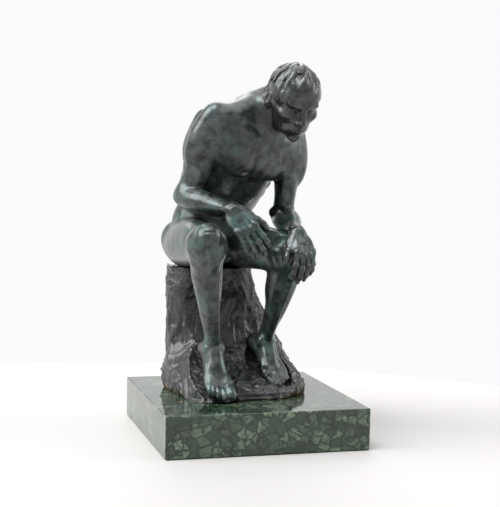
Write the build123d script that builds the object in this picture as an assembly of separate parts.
# Seated bronze figure on a rough rock, bolted to a polished marble slab.
# The bronze is cast in sections that are pinned, welded and chased together.
# Millimetres. +Z up, origin under the centre of the slab, slab faces square to X and Y.
# The figure is built in its own frame: origin between the hips, -Y the way it faces.
from build123d import *
from math import cos, pi, radians, sin, tan
import os

# Marble slab
slab_width = 250.0
slab_depth = 250.0
slab_height = 50.0
slab_edge_chamfer = 0.8

# Felt discs let into the underside
felt_diameter = 22.0
felt_thickness = 3.0
felt_recess_depth = 2.0
felt_inset = 26.0
felt_clearance = 0.2

# Studs, washers and nuts that clamp the bronze to the slab
stud_diameter = 8.0
stud_hole_diameter = 9.0
stud_grip_in_boss = 14.0
counterbore_diameter = 22.0
counterbore_depth = 16.0
washer_diameter = 16.0
washer_bore = 8.4
washer_thickness = 1.6
nut_across_flats = 13.0
nut_height = 6.5
stud_past_nut = 2.0
thread_clearance = 0.05

# Rock casting
rock_wall = 7.0
rock_top_wall = 9.0
boss_diameter = 18.0
boss_height = 22.0
rock_foot_left = 91.0
rock_foot_right = 90.0
rock_foot_front = 60.0
rock_foot_rear = 118.0
rock_top_left = 88.0
rock_top_right = 32.0
rock_top_front = -22.0
rock_top_rear = 116.0
rock_sides = 20
hollow_sides = 12
rock_squareness = 2.6
crag_depth = 6.0
boss_angles = (205.0, 335.0, 90.0)
rock_under_toes = 12.0

# Body sizes
head_height = 84.0
head_width = 60.0
head_depth = 75.0
neck_width = 42.0
neck_depth = 44.0
neck_length = 50.0
pelvis_to_waist = 46.0
waist_to_ribs = 50.0
ribs_to_chest = 52.0
chest_to_neck = 46.0
hip_width = 108.0
hip_depth = 84.0
waist_width = 92.0
waist_depth = 70.0
chest_width = 122.0
chest_depth = 88.0
hip_spacing = 62.0
shoulder_spacing = 138.0
upper_arm_length = 105.0
upper_arm_width = 38.0
upper_arm_depth = 42.0
forearm_length = 92.0
forearm_width = 31.0
forearm_depth = 28.0
thigh_length = 144.0
thigh_width = 60.0
thigh_depth = 60.0
shank_length = 146.0
shank_width = 38.0
shank_depth = 42.0
ankle_height = 22.0
foot_length = 88.0
foot_width = 34.0
palm_length = 35.0
palm_width = 31.0
palm_depth = 12.0
finger_length = 32.0
finger_diameter = 8.2
thumb_length = 27.0
thumb_diameter = 9.4
toe_length = 16.0
toe_diameter = 8.6

# Pose, in degrees. Lean is forward, sideways and turn are towards the figure's left.
facing = 8.0
spine_leans = (7.0, 25.0, 40.0, 38.0)
spine_sideways = (3.5, 7.0, 9.0, 10.5)
spine_turns = (0.0, 6.0, 11.0, 17.0)
neck_lean, neck_sideways, neck_turn = 70.0, 14.0, 18.0
head_bow, head_turn = 30.0, -2.0
right_thigh_yaw, right_thigh_rise = -11.0, 4.0
left_thigh_yaw, left_thigh_rise = 9.0, -1.0
right_shank_back, right_shank_sideways = 20.0, 12.0
left_shank_back, left_shank_sideways = 34.0, 1.0
right_arm_back, right_arm_sideways = 25.0, -12.0
left_arm_back, left_arm_sideways = -9.0, -9.0
right_forearm_yaw, right_forearm_rise = 17.0, -8.0
left_forearm_yaw, left_forearm_rise = -14.0, -9.0
right_foot_yaw, left_foot_yaw = -4.0, 2.0
right_foot_drop, left_foot_drop = 36.0, 30.0

# The hands' directions, as unit steps: along the hand, and out of its back
right_hand_pointing, right_hand_back = (0.38, -0.50, -0.78), (-0.45, -0.80, 0.40)
left_hand_pointing, left_hand_back = (0.0, -0.58, -0.81), (0.10, -0.45, 0.90)
right_finger_spread, left_finger_spread = 0.25, 0.30
right_finger_bends, left_finger_bends = (-12.0, -20.0, -16.0), (-30.0, -24.0, -18.0)
thumb_bends = (0.0, -6.0, -14.0)
toe_bends = (10.0, -14.0, -12.0)

# Where the figure sits, from the centre of the slab
seat_place_x = -30.0
seat_place_y = 68.0

# Pins and screws between the castings
dowel_diameter = 6.0
dowel_length = 24.0
foot_pin_diameter = 5.0
foot_pin_length = 16.0
pin_clearance = 0.05
seat_screw_diameter = 6.0
seat_screw_hole_diameter = 6.6
seat_screw_head_diameter = 10.0
seat_screw_head_height = 6.0
seat_screw_key = 5.0
seat_screw_key_depth = 3.0
seat_screw_grip = 14.0
seat_screw_spacing = 44.0

# One overrun for every cut
cut_overrun = 1.0

UP = Vector(0, 0, 1)
FORWARD = Vector(0, -1, 0)
LEFT = Vector(1, 0, 0)


def heading(yaw, rise):
    """Unit direction: yaw from straight ahead to the figure's left, rise above level."""
    level = cos(radians(rise))
    return Vector(sin(radians(yaw)) * level, -cos(radians(yaw)) * level, sin(radians(rise)))


def leaning(lean, sideways, turn):
    """Unit direction close to up, leaning forward and to the left, then turned to the left."""
    tilted = Vector(tan(radians(sideways)), -tan(radians(lean)), 1).normalized()
    return tilted.rotate(Axis.Z, turn)


def hanging(back, sideways):
    """Unit direction close to down, swept back and to the figure's left."""
    return Vector(tan(radians(sideways)), tan(radians(back)), -1).normalized()


def square_to(direction, near):
    """The part of near that is square to direction, as a unit vector."""
    return (near - direction * near.dot(direction)).normalized()


def ring_at(centre, direction, front, width, depth, sides):
    """Corners of a flat elliptic ring across direction; depth lies along front."""
    front = square_to(direction, front)
    side = direction.cross(front)
    corners = []
    for number in range(sides):
        angle = 2 * pi * number / sides
        corners.append(centre + side * (width / 2 * cos(angle)) + front * (depth / 2 * sin(angle)))
    return corners


def flat(corners):
    """A flat face inside a closed run of corners."""
    return Face(Wire.make_polygon(corners, close=True))


def faceted(rings):
    """A closed solid through rings of corners, with flat triangles between neighbouring rings."""
    faces = [flat(rings[0]), flat(rings[-1])]
    for low, high in zip(rings, rings[1:]):
        for number, corner in enumerate(low):
            following = (number + 1) % len(low)
            faces.append(flat([corner, low[following], high[number]]))
            faces.append(flat([low[following], high[following], high[number]]))
    return Solid(Shell(faces))


def limb(start, direction, front, out, length, width, depth, section_shares, sides):
    """A faceted loft along a bone. Each section is (along, width, depth, forward, outward), as
    shares of the length, of the width and depth, and of the depth and width for the offsets."""
    front = square_to(direction, front)
    out = square_to(direction, out)
    rings = []
    for along, wide, deep, ahead, aside in section_shares:
        centre = start + direction * (along * length) + front * (ahead * depth) + out * (aside * width)
        rings.append(ring_at(centre, direction, front, wide * width, deep * depth, sides))
    return faceted(rings)


def bulge(start, end, front, width, depth, sides=6):
    """A muscle or a rounded lump: thin at both ends and full in the middle."""
    direction = (end - start).normalized()
    rings = []
    for along, size in bulge_section_shares:
        centre = start + (end - start) * along
        rings.append(ring_at(centre, direction, front, width * size, depth * size, sides))
    return faceted(rings)


def digit(base, direction, front, length, diameter, bends, tip_share):
    """A finger or toe: three bones, each bent further towards -front, closed by a rounded tip."""
    front = square_to(direction, front)
    side = direction.cross(front)
    rings = [ring_at(base - direction * diameter, direction, front, diameter, diameter, digit_sides)]
    point = base
    for number, (bone_share, bend) in enumerate(zip(bone_shares, bends)):
        turned = direction.rotate(Axis((0, 0, 0), side), bend)
        size = diameter * (1 - (1 - tip_share) * number / len(bone_shares))
        rings.append(ring_at(point, (direction + turned).normalized(), front, size, size, digit_sides))
        direction = turned
        front = square_to(direction, front)
        if number < len(bone_shares) - 1:
            point = point + direction * (bone_share * length)
    for along, wide in tip_section_shares:
        size = diameter * tip_share * wide
        place = point + direction * (along * bone_shares[-1] * length)
        rings.append(ring_at(place, direction, front, size, size, digit_sides))
    return faceted(rings)


# Section tables, all shares. A limb's rows are (along, width, depth, forward, outward).
bulge_section_shares = ((0.0, 0.36), (0.16, 0.76), (0.50, 1.0), (0.84, 0.76), (1.0, 0.36))
bone_shares = (0.44, 0.30, 0.26)
tip_section_shares = ((0.62, 0.92), (1.0, 0.42))
digit_sides = 6
torso_sides = 16
head_sides = 16
limb_sides = 10
thigh_section_shares = (
    (-0.10, 0.80, 0.76, -0.06, 0.00),
    (0.02, 0.96, 0.92, -0.04, 0.00),
    (0.16, 1.00, 0.98, -0.01, 0.01),
    (0.32, 0.98, 0.98, 0.02, 0.01),
    (0.50, 0.90, 0.90, 0.03, 0.01),
    (0.68, 0.77, 0.78, 0.02, 0.00),
    (0.84, 0.66, 0.68, -0.01, 0.00),
    (0.96, 0.64, 0.64, -0.03, 0.00),
    (1.06, 0.50, 0.48, -0.05, 0.00),
)
shank_section_shares = (
    (-0.08, 0.66, 0.60, -0.06, 0.00),
    (0.00, 0.94, 0.90, -0.04, 0.00),
    (0.08, 0.98, 0.98, -0.06, 0.00),
    (0.20, 1.00, 1.02, -0.12, 0.01),
    (0.34, 0.96, 0.98, -0.14, 0.01),
    (0.48, 0.82, 0.82, -0.11, 0.00),
    (0.64, 0.63, 0.66, -0.06, 0.00),
    (0.80, 0.49, 0.56, -0.02, 0.00),
    (0.92, 0.48, 0.58, -0.01, 0.00),
    (1.04, 0.54, 0.60, 0.00, 0.00),
)
upper_arm_section_shares = (
    (-0.10, 0.60, 0.60, 0.00, -0.10),
    (0.02, 0.86, 0.86, 0.00, -0.06),
    (0.20, 0.94, 0.96, 0.02, 0.00),
    (0.40, 0.88, 0.96, 0.03, 0.00),
    (0.60, 0.80, 0.86, 0.02, 0.00),
    (0.80, 0.74, 0.72, 0.00, 0.00),
    (0.95, 0.76, 0.64, -0.03, 0.00),
    (1.08, 0.58, 0.48, -0.06, 0.00),
)
forearm_section_shares = (
    (-0.10, 0.70, 0.72, 0.00, 0.00),
    (0.02, 0.94, 0.96, 0.00, 0.02),
    (0.18, 1.04, 1.06, 0.00, 0.05),
    (0.36, 0.98, 0.98, 0.00, 0.04),
    (0.56, 0.82, 0.78, 0.00, 0.02),
    (0.78, 0.64, 0.58, 0.00, 0.00),
    (0.94, 0.60, 0.48, 0.00, 0.00),
    (1.05, 0.56, 0.46, 0.00, 0.00),
)
palm_section_shares = (
    (-0.14, 0.50, 0.92, 0.00, 0.00),
    (0.06, 0.62, 1.04, 0.00, 0.00),
    (0.34, 0.88, 1.08, 0.00, 0.02),
    (0.70, 1.00, 0.96, 0.04, 0.00),
    (0.96, 0.97, 0.78, 0.04, 0.00),
    (1.08, 0.84, 0.52, 0.02, 0.00),
)
finger_place_shares = ((-0.36, 0.90), (-0.12, 1.00), (0.12, 0.95), (0.35, 0.76))
# Foot, heel to ball: (along, width, height, outward), shares of length, width and ankle height.
foot_section_shares = (
    (-0.28, 0.36, 0.50, 0.00),
    (-0.24, 0.56, 0.86, 0.00),
    (-0.14, 0.68, 1.06, 0.00),
    (0.00, 0.72, 1.24, 0.00),
    (0.12, 0.76, 1.20, 0.01),
    (0.26, 0.86, 0.96, 0.02),
    (0.42, 0.98, 0.72, 0.02),
    (0.54, 1.00, 0.54, 0.00),
    (0.62, 0.90, 0.40, 0.00),
)
# Toes, big to small: (across the ball, length, thickness).
toe_place_shares = (
    (-0.33, 1.05, 1.30),
    (-0.09, 1.02, 0.96),
    (0.10, 0.94, 0.90),
    (0.25, 0.84, 0.84),
    (0.38, 0.74, 0.78),
)
ball_along_share = 0.58
# Head rows, chin to crown: (rise, width, depth, forward).
head_section_shares = (
    (-0.500, 0.22, 0.16, 0.31),
    (-0.470, 0.36, 0.30, 0.27),
    (-0.400, 0.54, 0.50, 0.19),
    (-0.300, 0.70, 0.66, 0.13),
    (-0.180, 0.82, 0.78, 0.08),
    (-0.060, 0.88, 0.84, 0.045),
    (0.040, 0.91, 0.88, 0.020),
    (0.110, 0.95, 0.97, 0.005),
    (0.220, 0.98, 0.99, -0.010),
    (0.330, 0.92, 0.93, -0.020),
    (0.420, 0.76, 0.78, -0.030),
    (0.475, 0.50, 0.54, -0.040),
    (0.500, 0.20, 0.22, -0.040),
)
hair_section_shares = (
    (-0.10, 0.99, 1.00),
    (-0.06, 1.04, 1.05),
    (0.08, 1.06, 1.07),
    (0.20, 1.01, 1.02),
    (0.32, 0.87, 0.89),
    (0.41, 0.66, 0.68),
    (0.47, 0.42, 0.44),
    (0.50, 0.16, 0.18),
)
# Breast, flank and shoulder blade: start and end (up, ahead, outward), then width and depth.
chest_muscle_shares = (
    ((-0.30, 0.33, 0.08), (0.36, 0.12, 0.50), 0.36, 0.24),
    ((-1.30, -0.16, 0.34), (0.36, -0.12, 0.50), 0.24, 0.62),
    ((-0.70, -0.36, 0.20), (0.72, -0.28, 0.32), 0.42, 0.34),
)
nose_section_shares = (
    (0.0, 0.44, 0.60, -0.14, 0.0),
    (0.45, 0.56, 0.70, -0.06, 0.0),
    (0.80, 0.90, 0.86, -0.04, 0.0),
    (1.0, 1.0, 0.84, -0.10, 0.0),
    (1.12, 0.66, 0.50, -0.24, 0.0),
)
# Brow, upper lip, lower lip and chin: (rise, forward, half width, height, depth).
face_bar_shares = (
    (0.10, 0.40, 0.26, 0.10, 0.15),
    (-0.265, 0.40, 0.19, 0.075, 0.15),
    (-0.32, 0.385, 0.16, 0.065, 0.14),
    (-0.44, 0.31, 0.20, 0.14, 0.20),
)
yoke_section_shares = (
    (-0.10, 0.50, 0.84, 0.0, 0.0),
    (0.30, 0.52, 0.78, 0.0, 0.0),
    (0.65, 0.46, 0.66, 0.0, 0.0),
    (0.95, 0.36, 0.52, 0.0, 0.0),
    (1.15, 0.24, 0.34, 0.0, 0.0),
)
neck_section_shares = (
    (-0.15, 0.84, 0.84, 0.0, 0.0),
    (0.10, 0.94, 0.94, 0.0, 0.0),
    (0.50, 0.98, 0.98, 0.0, 0.0),
    (0.80, 1.06, 1.06, 0.0, 0.0),
    (1.00, 1.12, 1.10, 0.0, 0.0),
)

# Joint places in the figure's frame, then its height over the slab from the right foot up
slab_bottom = felt_thickness - felt_recess_depth
slab_top = slab_bottom + slab_height
right_thigh_dir = heading(right_thigh_yaw, right_thigh_rise)
left_thigh_dir = heading(left_thigh_yaw, left_thigh_rise)
right_shank_dir = hanging(right_shank_back, right_shank_sideways)
left_shank_dir = hanging(left_shank_back, left_shank_sideways)
right_foot_dir = heading(right_foot_yaw, -right_foot_drop)
left_foot_dir = heading(left_foot_yaw, -left_foot_drop)
right_hip = LEFT * (-hip_spacing / 2)
left_hip = LEFT * (hip_spacing / 2)
right_knee = right_hip + right_thigh_dir * thigh_length
left_knee = left_hip + left_thigh_dir * thigh_length
right_ankle = right_knee + right_shank_dir * shank_length
left_ankle = left_knee + left_shank_dir * shank_length
right_ball_drop = -right_foot_dir.Z * foot_length * ball_along_share
right_ankle_rise = ankle_height * square_to(right_foot_dir, UP).Z
hip_height = slab_top + rock_under_toes + right_ball_drop + right_ankle_rise - right_ankle.Z
seat_drop_share = 0.44
seat_height = hip_height - thigh_depth * seat_drop_share
place = Location((seat_place_x, seat_place_y, hip_height), (0, 0, facing))

spine_lengths = (pelvis_to_waist, waist_to_ribs, ribs_to_chest, chest_to_neck)
spine_dirs = [leaning(*angles) for angles in zip(spine_leans, spine_sideways, spine_turns)]
spine_points = [Vector(0, 0, 0)]
for bone_length, bone_dir in zip(spine_lengths, spine_dirs):
    spine_points.append(spine_points[-1] + bone_dir * bone_length)
pelvis, waist, ribs, chest, neck_root = spine_points
chest_up = spine_dirs[3]
chest_left = square_to(chest_up, LEFT.rotate(Axis.Z, spine_turns[3]))
chest_front = chest_left.cross(chest_up)
neck_dir = leaning(neck_lean, neck_sideways, neck_turn)
head_middle = neck_root + neck_dir * neck_length
shoulder_middle = chest + chest_up * (chest_to_neck * 0.50)
right_shoulder = shoulder_middle - chest_left * (shoulder_spacing / 2)
left_shoulder = shoulder_middle + chest_left * (shoulder_spacing / 2)


# The arms hang from the shoulders to rest on the thighs.
right_elbow = right_shoulder + hanging(right_arm_back, right_arm_sideways) * upper_arm_length
left_elbow = left_shoulder + hanging(left_arm_back, left_arm_sideways) * upper_arm_length
right_wrist = right_elbow + heading(right_forearm_yaw, right_forearm_rise) * forearm_length
left_wrist = left_elbow + heading(left_forearm_yaw, left_forearm_rise) * forearm_length


def leg(hip, knee, ankle, foot_dir, out):
    """Thigh, kneecap, shank, foot and toes in one casting."""
    thigh_dir = (knee - hip).normalized()
    shank_dir = (ankle - knee).normalized()
    top = square_to(thigh_dir, UP)
    shin = square_to(shank_dir, FORWARD)
    aside = square_to(thigh_dir, out)
    calf_side = square_to(shank_dir, out)
    knee_out = (thigh_dir - shank_dir).normalized()
    wide, deep = thigh_width, thigh_depth
    thin, thick = shank_width, shank_depth

    def on_thigh(along, up, outward):
        return hip + thigh_dir * (along * thigh_length) + top * (up * deep) + aside * (outward * wide)

    def on_shank(along, ahead, outward):
        return knee + shank_dir * (along * shank_length) + shin * (ahead * thick) + calf_side * (outward * thin)

    thigh = limb(hip, thigh_dir, UP, out, thigh_length, wide, deep, thigh_section_shares, limb_sides)
    shank = limb(knee, shank_dir, FORWARD, out, shank_length, thin, thick, shank_section_shares, limb_sides)
    cap_back, cap_front = knee - knee_out * (deep * 0.40), knee + knee_out * (deep * 0.33)
    muscles = [
        bulge(on_thigh(0.16, 0.20, 0.04), on_thigh(0.92, 0.16, 0.0), top, wide * 0.50, deep * 0.46),
        bulge(on_thigh(0.24, 0.0, 0.24), on_thigh(0.98, -0.02, 0.16), top, wide * 0.44, deep * 0.56),
        bulge(on_thigh(0.50, 0.04, -0.20), on_thigh(1.0, -0.04, -0.15), top, wide * 0.36, deep * 0.46),
        bulge(on_thigh(0.10, -0.22, 0.0), on_thigh(0.86, -0.18, 0.0), top, wide * 0.70, deep * 0.46),
        bulge(cap_back, cap_front, top, wide * 0.64, deep * 0.68, limb_sides),
        bulge(on_shank(0.04, -0.20, 0.18), on_shank(0.50, -0.22, 0.14), shin, thin * 0.52, thick * 0.60),
        bulge(on_shank(0.04, -0.20, -0.18), on_shank(0.56, -0.22, -0.14), shin, thin * 0.56, thick * 0.62),
        bulge(on_shank(0.06, 0.16, 0.14), on_shank(0.72, 0.08, 0.04), shin, thin * 0.44, thick * 0.42),
        bulge(on_shank(0.93, 0, 0.12), on_shank(1.05, 0, 0.20), shin, thin * 0.34, thick * 0.36),
        bulge(on_shank(0.90, 0, -0.14), on_shank(1.02, 0, -0.22), shin, thin * 0.34, thick * 0.36),
    ]
    return thigh + [shank, *muscles, *foot(ankle, foot_dir, out)]


def foot(ankle, foot_dir, out):
    """Heel, arch and ball as one loft along the sole, with five toes."""
    top = square_to(foot_dir, UP)
    side = square_to(foot_dir, out)
    sole = ankle - top * ankle_height
    rings = []
    for along, wide, high, aside in foot_section_shares:
        height = high * ankle_height
        centre = sole + foot_dir * (along * foot_length) + top * (height / 2) + side * (aside * foot_width)
        rings.append(ring_at(centre, foot_dir, top, wide * foot_width, height, limb_sides))
    pieces = [faceted(rings)]
    ball = sole + foot_dir * (ball_along_share * foot_length)
    for aside, long, thick in toe_place_shares:
        size = toe_diameter * thick
        base = ball + side * (aside * foot_width) + top * (size * 0.62)
        base -= foot_dir * (abs(aside + 0.2) * toe_length * 0.9)
        pieces.append(digit(base, foot_dir, top, toe_length * long, size, toe_bends, 0.92))
    return pieces


def hand(wrist, pointing, back, thumb_side, spread, bends):
    """Palm, four fingers and a thumb. back points away from the palm."""
    along = Vector(*pointing).normalized()
    back = square_to(along, Vector(*back))
    side = square_to(back, square_to(along, thumb_side) * -1)

    def on_palm(forward, aside, up):
        return wrist + along * (forward * palm_length) + side * (aside * palm_width) + back * (up * palm_depth)

    palm = limb(wrist, along, back, side, palm_length, palm_width, palm_depth, palm_section_shares, limb_sides)
    pieces = [palm]
    for aside, long in finger_place_shares:
        base = on_palm(1.02 - abs(aside + 0.1) * 0.30, aside, 0)
        finger_dir = (along + side * (aside * spread)).normalized()
        pieces.append(digit(base, finger_dir, back, finger_length * long, finger_diameter, bends, 0.80))
    thumb_base = on_palm(0.42, -0.38, -0.15)
    thumb_dir = (along - side * 0.55 - back * 0.30).normalized()
    pieces.append(digit(thumb_base, thumb_dir, back, thumb_length, thumb_diameter, thumb_bends, 0.86))
    ball_end = thumb_base + thumb_dir * (thumb_length * 0.30)
    pieces.append(bulge(on_palm(0.10, -0.16, -0.20), ball_end, back, palm_width * 0.42, palm_depth))
    return pieces


def arm(shoulder, elbow, wrist, out, hand_pieces):
    """Shoulder muscle, upper arm, forearm and hand in one casting."""
    upper_dir = (elbow - shoulder).normalized()
    fore_dir = (wrist - elbow).normalized()
    front = square_to(upper_dir, fore_dir)
    aside = square_to(upper_dir, out)
    back = square_to(fore_dir, upper_dir * -1)
    fore_side = square_to(fore_dir, out)
    long, wide, deep = upper_arm_length, upper_arm_width, upper_arm_depth
    reach, broad, thick = forearm_length, forearm_width, forearm_depth

    def on_arm(along, ahead, outward):
        return shoulder + upper_dir * (along * long) + front * (ahead * deep) + aside * (outward * wide)

    def on_forearm(along, up, outward):
        return elbow + fore_dir * (along * reach) + back * (up * thick) + fore_side * (outward * broad)

    upper = limb(shoulder, upper_dir, front, out, long, wide, deep, upper_arm_section_shares, limb_sides)
    fore = limb(elbow, fore_dir, back, out, reach, broad, thick, forearm_section_shares, limb_sides)
    muscles = [
        bulge(on_arm(-0.16, 0.0, 0.06), on_arm(0.52, 0.0, 0.18), front, wide * 1.12, deep * 0.98, limb_sides),
        bulge(on_arm(-0.10, 0.24, 0.0), on_arm(0.42, 0.12, 0.12), front, wide * 0.66, deep * 0.56),
        bulge(on_arm(-0.10, -0.24, 0.0), on_arm(0.42, -0.12, 0.12), front, wide * 0.66, deep * 0.56),
        bulge(on_arm(0.26, 0.20, 0.0), on_arm(0.92, 0.14, 0.0), front, wide * 0.66, deep * 0.56),
        bulge(on_arm(0.18, -0.20, 0.0), on_arm(0.86, -0.18, 0.0), front, wide * 0.78, deep * 0.50),
        bulge(on_arm(0.90, -0.10, 0.0), on_arm(1.10, -0.20, 0.0), front, wide * 0.52, deep * 0.44),
        bulge(on_forearm(-0.16, 0.08, 0.26), on_forearm(0.60, 0.06, 0.16), back, broad * 0.54, thick * 0.76),
    ]
    return upper + [fore, *muscles, *hand_pieces]


def yoke_dir(left):
    """From the root of the neck down to one shoulder."""
    return (chest_left * (left * chest_width * 0.5) - chest_up * (chest_to_neck * 0.62)).normalized()


def torso():
    """Pelvis, belly, rib cage and shoulders as one loft along the spine, with the large muscles."""
    first, second, third, fourth = spine_dirs
    stations = [
        (pelvis - UP * (thigh_depth * 0.50), UP, hip_width * 0.90, hip_depth * 0.94, -0.10),
        (pelvis - UP * (thigh_depth * 0.30), UP, hip_width * 0.99, hip_depth * 1.00, -0.09),
        (pelvis, UP, hip_width, hip_depth, -0.06),
        (pelvis + first * (pelvis_to_waist * 0.45), first, hip_width * 0.96, hip_depth * 0.92, -0.02),
        (pelvis + first * (pelvis_to_waist * 0.80), first, (hip_width + waist_width) / 2, waist_depth * 1.06, 0.02),
        (waist, first + second, waist_width, waist_depth, 0.04),
        (waist + second * (waist_to_ribs * 0.50), second, (waist_width + chest_width) / 2, chest_depth * 0.88, 0.05),
        (ribs, second + third, chest_width * 0.95, chest_depth * 0.97, 0.04),
        (ribs + third * (ribs_to_chest * 0.50), third, chest_width, chest_depth * 1.01, 0.03),
        (chest, third + fourth, chest_width, chest_depth * 0.97, 0.02),
        (chest + fourth * (chest_to_neck * 0.38), fourth, chest_width * 0.94, chest_depth * 0.84, 0.01),
        (chest + fourth * (chest_to_neck * 0.68), fourth, chest_width * 0.72, chest_depth * 0.66, 0.0),
        (neck_root, fourth + neck_dir, neck_width * 1.34, neck_depth * 1.22, 0.0),
        (neck_root + neck_dir * (neck_length * 0.10), neck_dir, neck_width * 1.14, neck_depth * 1.08, 0.0),
    ]
    rings = []
    for number, (point, direction, width, depth, ahead) in enumerate(stations):
        turn = spine_turns[3] * number / len(stations)
        direction = direction.normalized()
        front = square_to(direction, FORWARD.rotate(Axis.Z, turn))
        centre = point + front * (ahead * chest_depth)
        rings.append(ring_at(centre, direction, front, width, depth, torso_sides))
    pieces = []
    for left in (-1, 1):
        pieces += [buttock(left), yoke(left), back_muscle(left)]
        for start_shares, end_shares, wide, deep in chest_muscle_shares:
            start, end = on_chest(left, *start_shares), on_chest(left, *end_shares)
            pieces.append(bulge(start, end, chest_front, chest_width * wide, chest_depth * deep))
    return faceted(rings) + pieces


def on_chest(left, up, ahead, outward):
    """A place in the chest, on its left where left is 1 and on its right where it is -1."""
    middle = chest + chest_up * (up * chest_to_neck) + chest_front * (ahead * chest_depth)
    return middle + chest_left * (left * outward * chest_width)


def buttock(left):
    """The seat muscle behind one hip."""
    hip = LEFT * (left * hip_spacing / 2)
    low = hip - UP * (thigh_depth * seat_drop_share) - FORWARD * (hip_depth * 0.30)
    high = hip + UP * (thigh_depth * 0.50) - FORWARD * (hip_depth * 0.22)
    return bulge(low, high, FORWARD, hip_width * 0.50, hip_depth * 0.60, limb_sides)


def yoke(left):
    """The muscle from the neck down to one shoulder."""
    start = on_chest(left, 1.20, -0.02, 0.02)
    return limb(start, yoke_dir(left), chest_up, chest_front, chest_width * 0.52, chest_depth,
                chest_to_neck, yoke_section_shares, limb_sides)


def back_muscle(left):
    """The long muscle beside the spine."""
    low = waist - spine_dirs[1] * (waist_to_ribs * 0.8) - FORWARD * (waist_depth * 0.36)
    low += LEFT * (left * waist_width * 0.14)
    high = on_chest(left, -0.60, -0.42, 0.12)
    return bulge(low, high, FORWARD, waist_width * 0.26, waist_depth * 0.34)


def head():
    """Skull, close cap of hair, jaw, brow, nose, lips, ears and neck in one casting."""
    face = heading(head_turn, -head_bow)
    crown = square_to(face, UP)
    left = square_to(face, LEFT)

    def on_head(up, ahead, aside):
        return head_middle + crown * (up * head_height) + face * (ahead * head_depth) + left * (aside * head_width)

    rings = []
    for rise, wide, deep, ahead in head_section_shares:
        rings.append(ring_at(on_head(rise, ahead, 0), crown, face, wide * head_width, deep * head_depth, head_sides))
    hair_up = (crown * 0.90 - face * 0.42).normalized()
    hair_rings = []
    for rise, wide, deep in hair_section_shares:
        centre = on_head(0.10, -0.02, 0) + hair_up * (rise * head_height)
        hair_rings.append(ring_at(centre, hair_up, face, wide * head_width, deep * head_depth * 0.98, head_sides))
    nose_root, nose_tip = on_head(0.05, 0.44, 0), on_head(-0.16, 0.53, 0)
    nose_dir = (nose_tip - nose_root).normalized()
    nose_length = (nose_tip - nose_root).length
    skull_base = on_head(-0.16, -0.16, 0)
    throat_dir = (neck_root - skull_base).normalized()
    throat_length = (neck_root - skull_base).length
    nose_width, nose_depth = head_width * 0.25, head_depth * 0.20
    pieces = [
        faceted(hair_rings),
        limb(nose_root, nose_dir, face, left, nose_length, nose_width, nose_depth, nose_section_shares, digit_sides),
        limb(skull_base, throat_dir, face, left, throat_length, neck_width, neck_depth, neck_section_shares, limb_sides),
        bulge(on_head(-0.02, -0.50, 0), on_head(0.0, -0.10, 0), crown, head_width * 0.80, head_height * 0.52, limb_sides),
    ]
    for rise, ahead, half, high, deep in face_bar_shares:
        start, end = on_head(rise, ahead, -half), on_head(rise, ahead, half)
        pieces.append(bulge(start, end, face, head_height * high, head_depth * deep))
    for side in (-1, 1):
        cheek_front, cheek_back = on_head(-0.10, 0.36, side * 0.22), on_head(-0.05, 0.12, side * 0.42)
        ear_low, ear_high = on_head(-0.15, -0.05, side * 0.48), on_head(0.09, -0.09, side * 0.51)
        pieces.append(bulge(cheek_front, cheek_back, crown, head_width * 0.14, head_height * 0.12))
        pieces.append(bulge(ear_low, ear_high, face, head_width * 0.10, head_depth * 0.17))
    return faceted(rings) + pieces


# Rock levels: share of the height, then how far each edge has moved from foot to top, as shares.
rock_level_shares = (
    # height, left, right, front, rear
    (0.00, 0.0, 0.00, 0.00, 0.0),
    (0.06, -0.3, -0.02, -0.02, -0.4),
    (0.12, 0.0, 0.04, 0.14, 0.0),
    (0.23, 0.3, 0.14, 0.74, 0.3),
    (0.36, 0.6, 0.30, 1.08, 0.6),
    (0.54, 0.8, 0.55, 1.20, 0.9),
    (0.72, 0.9, 0.80, 1.14, 1.0),
    (0.88, 0.9, 0.94, 1.02, 1.0),
    (1.00, 1.0, 1.00, 1.00, 1.0),
)
# Crags round the outline: (lobes, twist from level to level, share of the crags' depth).
crag_wave_shares = ((3, 1.7, 0.5), (5, -0.9, 0.4), (9, 0.6, 0.3))
# Levels of the lump under a foot: how far it spreads, and how far down to the slab, as shares.
mound_level_shares = ((0.32, 1.0), (0.22, 0.5), (0.12, 0.1), (0.0, 0.0))


def rock_corner(level, angle, z, inset):
    """A place on the rock's outline, drawn in by inset: squarer than an ellipse, with crags."""
    height_share, left_share, right_share, front_share, rear_share = rock_level_shares[level]
    left = rock_foot_left + (rock_top_left - rock_foot_left) * left_share
    right = rock_foot_right + (rock_top_right - rock_foot_right) * right_share
    front = rock_foot_front + (rock_top_front - rock_foot_front) * front_share
    rear = rock_foot_rear + (rock_top_rear - rock_foot_rear) * rear_share
    half_width, half_depth = (left + right) / 2, (front + rear) / 2
    centre_x, centre_y = (right - left) / 2, (rear - front) / 2
    c, s = cos(angle), sin(angle)
    reach = (abs(c) ** rock_squareness + abs(s) ** rock_squareness) ** (-1 / rock_squareness)
    crag = sum(share * sin(lobes * angle + twist * level) for lobes, twist, share in crag_wave_shares)
    inward = inset + crag_depth * (1 - crag) / 2
    return Vector(centre_x + (half_width * reach - inward) * c, centre_y + (half_depth * reach - inward) * s, z)


def rock_ring(level, z, inset, sides):
    """The rock's outline at one level."""
    return [rock_corner(level, 2 * pi * number / sides, z, inset) for number in range(sides)]


def rock_stack(inset, bottom, top, sides, step):
    """A solid through every step-th level of the rock, between two heights."""
    rings = []
    for level in range(0, len(rock_level_shares), step):
        height_share = rock_level_shares[level][0]
        rings.append(rock_ring(level, bottom + (top - bottom) * height_share, inset, sides))
    return faceted(rings)


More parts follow.
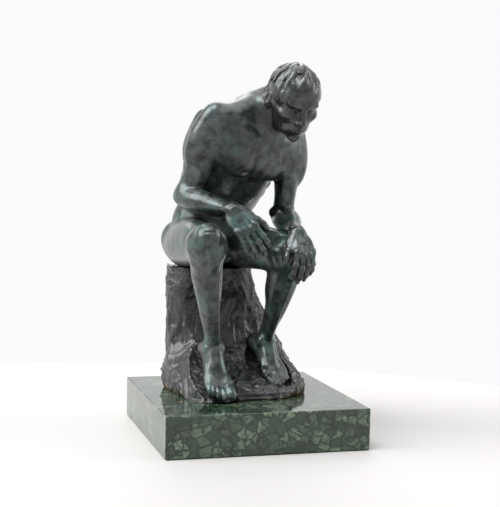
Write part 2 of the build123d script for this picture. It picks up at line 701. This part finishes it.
def foot_bed(ankle, foot_dir, out):
    """The lump of rock under a foot, whose top is the plane of the sole, and the room above it."""
    top = square_to(foot_dir, UP)
    sole = ankle - top * (ankle_height * 0.97)
    middle = sole + foot_dir * (foot_length * 0.22)
    bed = ring_at(middle, top, square_to(foot_dir, out), foot_length * 1.32, foot_width * 1.72, limb_sides)
    rings = []
    for spread_share, sink_share in mound_level_shares:
        corners = []
        for corner in bed:
            spread = corner + (corner - middle) * spread_share
            corners.append(Vector(spread.X, spread.Y, corner.Z + (slab_top - hip_height - corner.Z) * sink_share))
        rings.append(corners)
    room = faceted([bed, [corner + top * (ankle_height * 2) for corner in bed]])
    return place * faceted(rings), place * room


def boss_places():
    """Centres of the three bosses, grown out of the inside of the rock's wall."""
    inset = rock_wall + boss_diameter * 0.30
    return [rock_corner(0, radians(angle), slab_top, inset) for angle in boss_angles]


def rock():
    """The rough rock in the slab's frame: hollow, open below, with lumps under the feet and bosses."""
    footprint = faceted([rock_ring(1, slab_top, 0, rock_sides), rock_ring(1, seat_height, 0, rock_sides)])
    shape = rock_stack(0, slab_top, seat_height, rock_sides, 1)
    shape -= rock_stack(rock_wall, slab_top - cut_overrun, seat_height - rock_top_wall, hollow_sides, 2)
    for ankle, foot_dir, out in ((right_ankle, right_foot_dir, LEFT * -1), (left_ankle, left_foot_dir, LEFT)):
        mound, room = foot_bed(ankle, foot_dir, out)
        shape = shape + (mound & footprint) - room
    thread = upright(stud_diameter + thread_clearance * 2, stud_grip_in_boss + cut_overrun)
    for centre in boss_places():
        shape += Pos(centre) * upright(boss_diameter, boss_height)
        shape -= Pos(centre - UP * cut_overrun) * thread
    return shape


def upright(diameter, height):
    """A cylinder standing on the origin."""
    return Pos(0, 0, height / 2) * Cylinder(diameter / 2, height)


def ring(outer, bore, height):
    """A washer standing on the origin."""
    return upright(outer, height) - upright(bore, height)


def marble_slab():
    """The slab with chamfered edges, stud holes counterbored from below and felt recesses."""
    slab = Pos(0, 0, slab_bottom + slab_height / 2) * Box(slab_width, slab_depth, slab_height)
    slab = chamfer(slab.edges(), slab_edge_chamfer)
    for centre in boss_places():
        down = Pos(centre.X, centre.Y, slab_bottom - cut_overrun)
        slab -= down * upright(stud_hole_diameter, slab_height + cut_overrun * 2)
        slab -= down * upright(counterbore_diameter, counterbore_depth + cut_overrun)
    recess = upright(felt_diameter + felt_clearance * 2, felt_recess_depth + cut_overrun)
    for spot in felt_places().values():
        slab -= spot * Pos(0, 0, slab_bottom - cut_overrun) * recess
    return slab


def felt_places():
    """Where each felt disc goes, by its corner's name."""
    x, y = slab_width / 2 - felt_inset, slab_depth / 2 - felt_inset
    return {
        "front_left": Pos(-x, -y, 0),
        "front_right": Pos(x, -y, 0),
        "rear_left": Pos(-x, y, 0),
        "rear_right": Pos(x, y, 0),
    }


def hex_nut():
    """A hexagon nut standing on the origin."""
    prism = extrude(RegularPolygon(nut_across_flats / 2, 6, major_radius=False), nut_height)
    return prism - upright(stud_diameter + thread_clearance * 2, nut_height)


def clamp_hardware():
    """Studs up into the rock's bosses, each with a washer and a nut."""
    washer_z = slab_bottom + counterbore_depth - washer_thickness
    nut_z = washer_z - nut_height
    stud_z = nut_z - stud_past_nut
    stud = upright(stud_diameter, slab_top + stud_grip_in_boss - stud_z)
    washer = ring(washer_diameter, washer_bore, washer_thickness)
    spots = [Pos(centre.X, centre.Y, 0) for centre in boss_places()]
    return {
        "mounting_studs": Compound([spot * Pos(0, 0, stud_z) * stud for spot in spots]),
        "plain_washers": Compound([spot * Pos(0, 0, washer_z) * washer for spot in spots]),
        "hex_nuts": Compound([spot * Pos(0, 0, nut_z) * hex_nut() for spot in spots]),
    }


def seat_screw_places():
    """Where the two seat screws cross the top of the rock."""
    return [Vector(seat_place_x + side * seat_screw_spacing / 2, seat_place_y, seat_height) for side in (-1, 1)]


def seat_screws():
    """Socket screws driven up from inside the rock into the pelvis."""
    under = seat_height - rock_top_wall
    shank = upright(seat_screw_diameter, rock_top_wall + seat_screw_grip)
    screw_head = Pos(0, 0, -seat_screw_head_height) * upright(seat_screw_head_diameter, seat_screw_head_height)
    key = extrude(RegularPolygon(seat_screw_key / 2, 6, major_radius=False), seat_screw_key_depth)
    screw = shank + screw_head - Pos(0, 0, -seat_screw_head_height) * key
    return Compound([Pos(centre.X, centre.Y, under) * screw for centre in seat_screw_places()])


def pin(centre, direction, diameter, length):
    """A round pin across a seam, in the slab's frame."""
    return place * (Plane(origin=centre, z_dir=direction) * Cylinder(diameter / 2, length))


def pins(spare):
    """Every pin between two castings by its node's name, fatter and longer by spare for its hole."""
    hip_seam = hip_depth * 0.40
    shoulder_seam = shoulder_spacing * 0.44
    dowels = {
        "neck_dowel": [(neck_root + neck_dir * (neck_length * 0.10), neck_dir)],
        "shoulder_dowels": [
            (shoulder_middle - chest_left * shoulder_seam, chest_left),
            (shoulder_middle + chest_left * shoulder_seam, chest_left),
        ],
        "hip_dowels": [
            (right_hip + right_thigh_dir * hip_seam, right_thigh_dir),
            (left_hip + left_thigh_dir * hip_seam, left_thigh_dir),
        ],
    }
    width, length = dowel_diameter + spare * 2, dowel_length + spare * 2
    groups = {}
    for name, rows in dowels.items():
        groups[name] = [pin(centre, along, width, length) for centre, along in rows]
    groups["foot_pins"] = []
    for ankle, foot_dir in ((right_ankle, right_foot_dir), (left_ankle, left_foot_dir)):
        top = square_to(foot_dir, UP)
        sole = ankle - top * ankle_height
        groups["foot_pins"].append(pin(sole, top, foot_pin_diameter + spare * 2, foot_pin_length + spare * 2))
    return groups


def build():
    """Make every casting, cut each to its neighbours, and write one file for each piece."""
    rock_solid = rock()
    body = place * torso() - rock_solid
    right_leg = place * leg(right_hip, right_knee, right_ankle, right_foot_dir, LEFT * -1) - rock_solid - body
    left_leg = place * leg(left_hip, left_knee, left_ankle, left_foot_dir, LEFT) - rock_solid - body
    right_hand = hand(right_wrist, right_hand_pointing, right_hand_back, LEFT, right_finger_spread, right_finger_bends)
    left_hand = hand(left_wrist, left_hand_pointing, left_hand_back, LEFT * -1, left_finger_spread, left_finger_bends)
    right_arm = place * arm(right_shoulder, right_elbow, right_wrist, LEFT * -1, right_hand) - body - right_leg
    left_arm = place * arm(left_shoulder, left_elbow, left_wrist, LEFT, left_hand) - body - left_leg
    holes = [hole for group in pins(pin_clearance).values() for hole in group]
    drill = upright(seat_screw_hole_diameter, rock_top_wall + cut_overrun * 2)
    tapped = upright(seat_screw_diameter + thread_clearance * 2, seat_screw_grip + thread_clearance + cut_overrun)
    rock_drills = [Pos(centre - UP * (rock_top_wall + cut_overrun)) * drill for centre in seat_screw_places()]
    screw_holes = [Pos(centre - UP * cut_overrun) * tapped for centre in seat_screw_places()]
    named = {
        "marble_slab": marble_slab(),
        "rock_casting": rock_solid - holes - rock_drills,
        "torso_casting": body - holes - screw_holes,
        "head_casting": place * head() - body - holes,
        "right_arm_casting": right_arm - holes,
        "left_arm_casting": left_arm - holes,
        "right_leg_casting": right_leg - holes,
        "left_leg_casting": left_leg - holes,
        **{name: Compound(group) for name, group in pins(0).items()},
        **clamp_hardware(),
        "seat_screws": seat_screws(),
    }
    for corner, spot in felt_places().items():
        named[f"felt_disc_{corner}"] = spot * upright(felt_diameter, felt_thickness)
    for name, shape in named.items():
        export_step(shape, f"parts/{name}.step")


os.makedirs("parts", exist_ok=True)
build()
